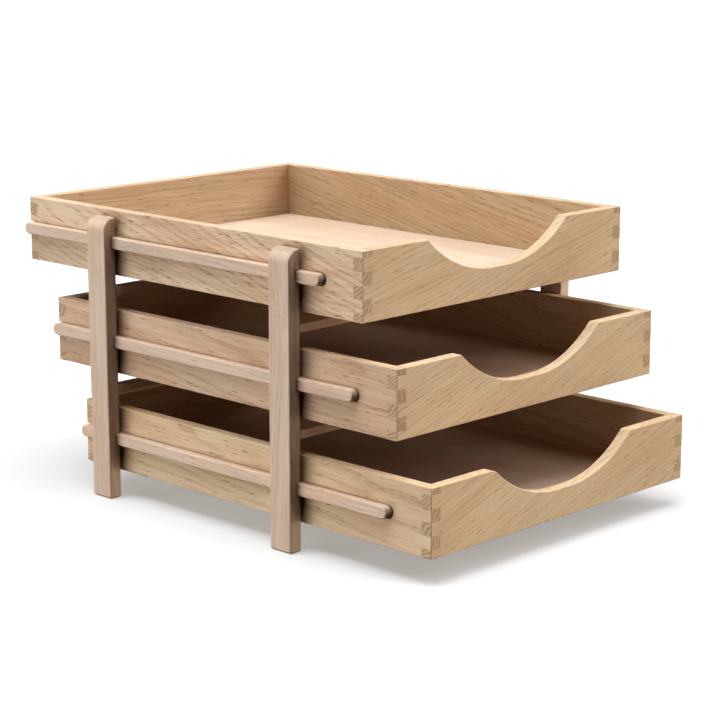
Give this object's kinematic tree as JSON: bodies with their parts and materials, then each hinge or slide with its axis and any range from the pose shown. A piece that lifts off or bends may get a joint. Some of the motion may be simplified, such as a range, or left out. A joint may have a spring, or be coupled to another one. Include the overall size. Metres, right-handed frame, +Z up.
{
  "type": "letter tray",
  "caption": "Wooden desk letter tray: finger-jointed open trays with scooped fronts that slide on side rails in a stand of notched posts.",
  "frame": {"origin": "on the surface that the feet rest on, under the middle of the middle tray", "axes": "+Z up, -Y towards the scooped fronts that face the user, +X to the user's right"},
  "size_m": [0.273, 0.3796, 0.1978],
  "materials": {
    "tray_oak": "soaped, matte",
    "panel_oak": "soaped, matte",
    "rail_oak": "soaped, matte",
    "stand_oak": "soaped, matte"
  },
  "bodies": {
    "stand": {"front_left_post": "stand_oak", "front_right_post": "stand_oak", "rear_left_post": "stand_oak", "rear_right_post": "stand_oak", "front_upper_crossbar": "stand_oak", "front_lower_crossbar": "stand_oak", "rear_upper_crossbar": "stand_oak", "rear_lower_crossbar": "stand_oak"},
    "top_tray": {"top_tray_front_wall": "tray_oak", "top_tray_back_wall": "tray_oak", "top_tray_left_wall": "tray_oak", "top_tray_right_wall": "tray_oak", "top_tray_floor_panel": "panel_oak", "top_tray_left_rail": "rail_oak", "top_tray_right_rail": "rail_oak"},
    "middle_tray": {"middle_tray_front_wall": "tray_oak", "middle_tray_back_wall": "tray_oak", "middle_tray_left_wall": "tray_oak", "middle_tray_right_wall": "tray_oak", "middle_tray_floor_panel": "panel_oak", "middle_tray_left_rail": "rail_oak", "middle_tray_right_rail": "rail_oak"},
    "bottom_tray": {"bottom_tray_front_wall": "tray_oak", "bottom_tray_back_wall": "tray_oak", "bottom_tray_left_wall": "tray_oak", "bottom_tray_right_wall": "tray_oak", "bottom_tray_floor_panel": "panel_oak", "bottom_tray_left_rail": "rail_oak", "bottom_tray_right_rail": "rail_oak"}
  },
  "joints": [
    {"name": "top_tray_slide", "type": "slide", "parent": "stand", "child": "top_tray", "axis": [0, -1, 0], "range_m": [-0.019, 0.076]},
    {"name": "middle_tray_slide", "type": "slide", "parent": "stand", "child": "middle_tray", "axis": [0, -1, 0], "range_m": [-0.047, 0.047]},
    {"name": "bottom_tray_slide", "type": "slide", "parent": "stand", "child": "bottom_tray", "axis": [0, -1, 0], "range_m": [-0.076, 0.019]}
  ]
}
